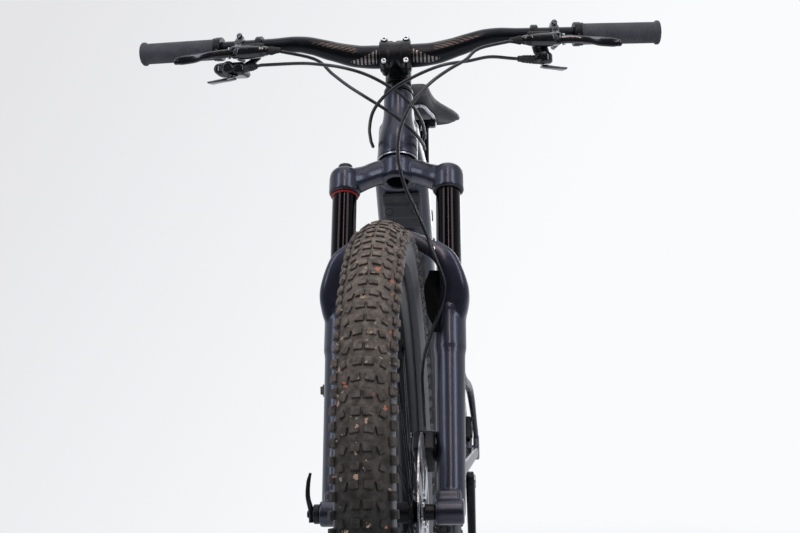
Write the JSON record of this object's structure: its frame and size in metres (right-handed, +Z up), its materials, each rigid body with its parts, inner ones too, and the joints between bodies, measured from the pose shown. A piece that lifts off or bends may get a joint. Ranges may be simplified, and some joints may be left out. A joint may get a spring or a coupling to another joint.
{
  "type": "electric mountain bike",
  "caption": "Hardtail mountain bike with a mid motor, a battery in the down tube, a suspension fork, hydraulic disc brakes and a dropper seat post.",
  "frame": {"origin": "on the ground, midway between the axles and in the middle plane, which is the bottom centre of the box round the whole bike", "axes": "+Z up, +Y to the rear, so the front wheel is at -Y, and +X to the rider's left"},
  "size_m": [0.7936, 1.964, 1.0839],
  "materials": {
    "frame_paint": "satin dark grey lacquer with a faint blue sheen",
    "fork_gloss": "gloss black hard anodised",
    "black_alloy": "satin black anodised",
    "lever_black": "gloss black lacquer",
    "steel": "fine turned steel",
    "tyre_rubber": "matt knobbly rubber with dried dirt",
    "grip_rubber": "matt dark grey rubber",
    "hose_black": "smooth black hose",
    "black_plastic": "moulded black plastic",
    "saddle_cover": "smooth black synthetic leather"
  },
  "bodies": {
    "frame": {"head_tube": "frame_paint", "top_tube": "frame_paint", "down_tube": "frame_paint", "seat_tube": "frame_paint", "chainstays": "frame_paint", "seatstays": "frame_paint", "battery": "black_plastic", "motor_unit": "black_plastic", "downtube_bumper": "grip_rubber", "headset_upper": "black_alloy", "headset_lower": "steel", "seat_clamp": "black_alloy", "seatpost_outer": "black_alloy", "rear_caliper": "lever_black", "rear_axle": "black_alloy", "derailleur_body": "black_alloy", "chain": "steel"},
    "steering": {"fork_crown": "frame_paint", "stanchion_left": "fork_gloss", "stanchion_right": "fork_gloss", "stem_body": "black_alloy", "stem_faceplate": "black_alloy", "handlebar": "black_alloy", "grip_left": "grip_rubber", "grip_right": "grip_rubber", "brake_master_left": "lever_black", "brake_master_right": "lever_black", "shifter_body": "black_plastic", "dropper_remote": "black_plastic", "front_brake_hose": "hose_black", "rear_brake_hose": "hose_black", "shift_housing": "hose_black", "dropper_housing": "hose_black"},
    "fork_lowers": {"fork_lowers": "frame_paint", "front_caliper": "lever_black", "front_axle": "black_alloy"},
    "axle_lever": {"axle_lever": "black_alloy"},
    "lockout_knob": {"lockout_knob": "black_plastic"},
    "front_wheel": {"front_tyre": "tyre_rubber", "front_rim": "black_alloy", "front_hub": "black_alloy", "front_rotor": "steel"},
    "brake_lever_left": {"brake_lever_left": "lever_black"},
    "brake_lever_right": {"brake_lever_right": "lever_black"},
    "shifter_paddle": {"shifter_paddle": "lever_black"},
    "dropper_lever": {"dropper_lever": "lever_black"},
    "rear_wheel": {"rear_tyre": "tyre_rubber", "rear_rim": "black_alloy", "rear_hub": "black_alloy", "rear_rotor": "steel"},
    "cassette": {"cassette": "steel"},
    "crank": {"crank_arm_left": "black_alloy", "crank_arm_right": "black_alloy", "chainring": "black_alloy"},
    "pedal_left": {"pedal_left": "black_plastic"},
    "pedal_right": {"pedal_right": "black_plastic"},
    "derailleur_cage": {"derailleur_cage": "black_alloy"},
    "dropper_post": {"seatpost_inner": "fork_gloss", "saddle_rails": "steel", "saddle": "saddle_cover"}
  },
  "joints": [
    {"name": "steering_turn", "type": "hinge", "parent": "frame", "child": "steering", "pos_m": [0, -0.56957, 0.35463], "axis": [0, 0.3947, 0.9188], "range_deg": [-50, 50], "deforming": ["rear_brake_hose", "shift_housing", "dropper_housing"]},
    {"name": "fork_slide", "type": "slide", "parent": "steering", "child": "fork_lowers", "axis": [0, 0.3947, 0.9188], "range_m": [0, 0.13], "stiffness_N_per_m": 6500, "springref_m": -0.035, "deforming": ["front_brake_hose"]},
    {"name": "front_wheel_spin", "type": "hinge", "parent": "fork_lowers", "child": "front_wheel", "pos_m": [0, -0.61, 0.372], "axis": [1, 0, 0], "continuous": true},
    {"name": "axle_lever_turn", "type": "hinge", "parent": "fork_lowers", "child": "axle_lever", "pos_m": [-0.10365, -0.61, 0.372], "axis": [1, 0, 0], "continuous": true},
    {"name": "lockout_turn", "type": "hinge", "parent": "steering", "child": "lockout_knob", "pos_m": [-0.07475, -0.38373, 0.84293], "axis": [0, 0.3947, 0.9188], "range_deg": [0, 90]},
    {"name": "brake_lever_left_pull", "type": "hinge", "parent": "steering", "child": "brake_lever_left", "pos_m": [0.24905, -0.35106, 1.03041], "axis": [-0.0159, -0.0026, 0.9999], "range_deg": [0, 15], "stiffness_Nm_per_rad": 2},
    {"name": "brake_lever_right_pull", "type": "hinge", "parent": "steering", "child": "brake_lever_right", "pos_m": [-0.24905, -0.35106, 1.03041], "axis": [-0.0159, 0.0026, -0.9999], "range_deg": [0, 15], "stiffness_Nm_per_rad": 2},
    {"name": "shifter_paddle_push", "type": "hinge", "parent": "steering", "child": "shifter_paddle", "pos_m": [-0.25213, -0.33232, 0.99546], "axis": [0.0159, -0.0026, 0.9999], "range_deg": [0, 25], "stiffness_Nm_per_rad": 0.6},
    {"name": "dropper_lever_push", "type": "hinge", "parent": "steering", "child": "dropper_lever", "pos_m": [0.2222, -0.33518, 0.99537], "axis": [0.0159, 0.0026, -0.9999], "range_deg": [0, 25], "stiffness_Nm_per_rad": 0.6},
    {"name": "rear_wheel_spin", "type": "hinge", "parent": "frame", "child": "rear_wheel", "pos_m": [0, 0.61, 0.372], "axis": [1, 0, 0], "continuous": true},
    {"name": "cassette_spin", "type": "hinge", "parent": "frame", "child": "cassette", "pos_m": [0, 0.61, 0.372], "axis": [1, 0, 0], "continuous": true},
    {"name": "crank_spin", "type": "hinge", "parent": "frame", "child": "crank", "pos_m": [0, 0.15, 0.345], "axis": [1, 0, 0], "continuous": true},
    {"name": "pedal_left_spin", "type": "hinge", "parent": "crank", "child": "pedal_left", "pos_m": [0, 0.15, 0.175], "axis": [1, 0, 0], "continuous": true},
    {"name": "pedal_right_spin", "type": "hinge", "parent": "crank", "child": "pedal_right", "pos_m": [0, 0.15, 0.515], "axis": [1, 0, 0], "continuous": true},
    {"name": "derailleur_cage_swing", "type": "hinge", "parent": "frame", "child": "derailleur_cage", "pos_m": [-0.06, 0.622, 0.27], "axis": [1, 0, 0], "range_deg": [-10, 25], "stiffness_Nm_per_rad": 3, "deforming": ["chain"]},
    {"name": "dropper_post_slide", "type": "slide", "parent": "frame", "child": "dropper_post", "axis": [0, 0.2504, 0.9681], "range_m": [-0.15, 0]}
  ],
  "couplings": [
    {"joint": "cassette_spin", "follows": "crank_spin", "ratio": 1.619}
  ]
}
